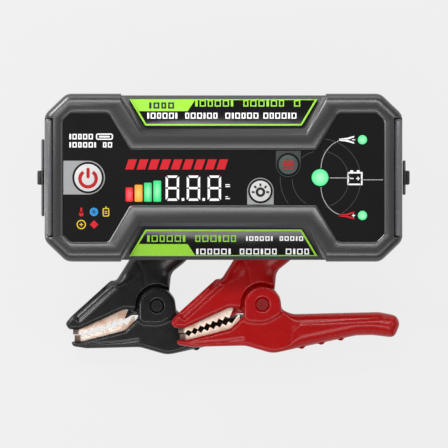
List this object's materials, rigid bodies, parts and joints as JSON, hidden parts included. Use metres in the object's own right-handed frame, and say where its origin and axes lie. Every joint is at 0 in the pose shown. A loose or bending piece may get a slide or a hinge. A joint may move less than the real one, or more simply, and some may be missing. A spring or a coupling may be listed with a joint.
{
  "type": "jump starter pack",
  "caption": "Portable car jump starter: long eight-sided battery pack with a display panel and keys, lying on its black and red spring clamps with toothed copper jaws.",
  "frame": {"origin": "bottom centre of the whole object's box, on the surface that the lower clamp lies on", "axes": "+X along the pack from the power key's end to the charging end, +Y up the panel, +Z out of the panel"},
  "size_m": [0.198, 0.1388, 0.0701],
  "materials": {
    "case_grey": "fine satin texture, dark grey ABS",
    "panel_black": "gloss black printed panel",
    "label_green": "printed black and green label plate",
    "button_white": "satin white key",
    "button_dark": "smoked dark key",
    "lamp_green": "clear green light guide",
    "rubber_black": "soft black rubber",
    "strip_grey": "satin mid grey strip",
    "clear_lens": "clear lens",
    "board_green": "green circuit board",
    "cell_foil": "pouch foil",
    "tray_plastic": "black moulding",
    "socket_blue": "blue connector housing",
    "brass": "bright turned brass",
    "steel": "plated steel",
    "copper": "bright copper plate",
    "clamp_black": "black moulded nylon",
    "clamp_red": "red moulded nylon"
  },
  "bodies": {
    "pack": {"front_shell": "case_grey", "back_shell": "case_grey", "case_screw_1": "steel", "cell_1": "cell_foil", "case_screw_2": "steel", "cell_2": "cell_foil", "case_screw_3": "steel", "cell_3": "cell_foil", "case_screw_4": "steel", "cell_4": "cell_foil", "left_end_strip": "strip_grey", "right_end_strip": "strip_grey", "upper_inlay": "label_green", "lower_inlay": "label_green", "display_panel": "panel_black", "power_switch": "steel", "light_switch": "steel", "mode_switch": "steel", "status_lamp": "lamp_green", "negative_lamp": "lamp_green", "positive_lamp": "lamp_green", "control_board": "board_green", "display_module": "tray_plastic", "power_board": "board_green", "usb_board": "board_green", "cell_tray": "tray_plastic", "output_socket": "socket_blue", "socket_contact_positive": "brass", "socket_contact_negative": "brass", "positive_busbar": "copper", "negative_busbar": "copper", "usb_a_port": "steel", "usb_c_port": "steel", "torch_lens": "clear_lens", "torch_reflector": "steel", "torch_board": "board_green", "black_upper_half": "clamp_black", "black_upper_jaw": "copper", "black_pivot_pin": "steel", "black_jaw_spring": "steel", "red_upper_half": "clamp_red", "red_upper_jaw": "copper", "red_pivot_pin": "steel", "red_jaw_spring": "steel"},
    "power_button": {"power_button": "button_white"},
    "light_button": {"light_button": "button_white"},
    "mode_button": {"mode_button": "button_dark"},
    "output_cover": {"output_cover": "rubber_black"},
    "usb_cover": {"usb_cover": "rubber_black"},
    "black_lower": {"black_lower_half": "clamp_black", "black_lower_jaw": "copper"},
    "red_lower": {"red_lower_half": "clamp_red", "red_lower_jaw": "copper"}
  },
  "joints": [
    {"name": "power_button_press", "type": "slide", "parent": "pack", "child": "power_button", "axis": [0, 0, -1], "range_m": [0, 0.0008], "stiffness_N_per_m": 600, "springref_m": -0.0005},
    {"name": "light_button_press", "type": "slide", "parent": "pack", "child": "light_button", "axis": [0, 0, -1], "range_m": [0, 0.0008], "stiffness_N_per_m": 600, "springref_m": -0.0005},
    {"name": "mode_button_press", "type": "slide", "parent": "pack", "child": "mode_button", "axis": [0, 0, -1], "range_m": [0, 0.0008], "stiffness_N_per_m": 600, "springref_m": -0.0005},
    {"name": "output_cover_swing", "type": "hinge", "parent": "pack", "child": "output_cover", "pos_m": [-0.0953, 0.00428, 0.0521], "axis": [0, 0, 1], "range_deg": [0, 110]},
    {"name": "usb_cover_swing", "type": "hinge", "parent": "pack", "child": "usb_cover", "pos_m": [0.0953, 0.01558, 0.0521], "axis": [0, 0, -1], "range_deg": [0, 110]},
    {"name": "black_clamp_open", "type": "hinge", "parent": "pack", "child": "black_lower", "pos_m": [-0.0355, -0.04357, 0.008], "axis": [0, 0, 1], "range_deg": [0, 30], "stiffness_Nm_per_rad": 1.5, "springref_deg": -22.92},
    {"name": "red_clamp_open", "type": "hinge", "parent": "pack", "child": "red_lower", "pos_m": [0.0207, -0.04267, 0.0258], "axis": [0, 0, 1], "range_deg": [0, 30], "stiffness_Nm_per_rad": 1.5, "springref_deg": -22.92}
  ]
}
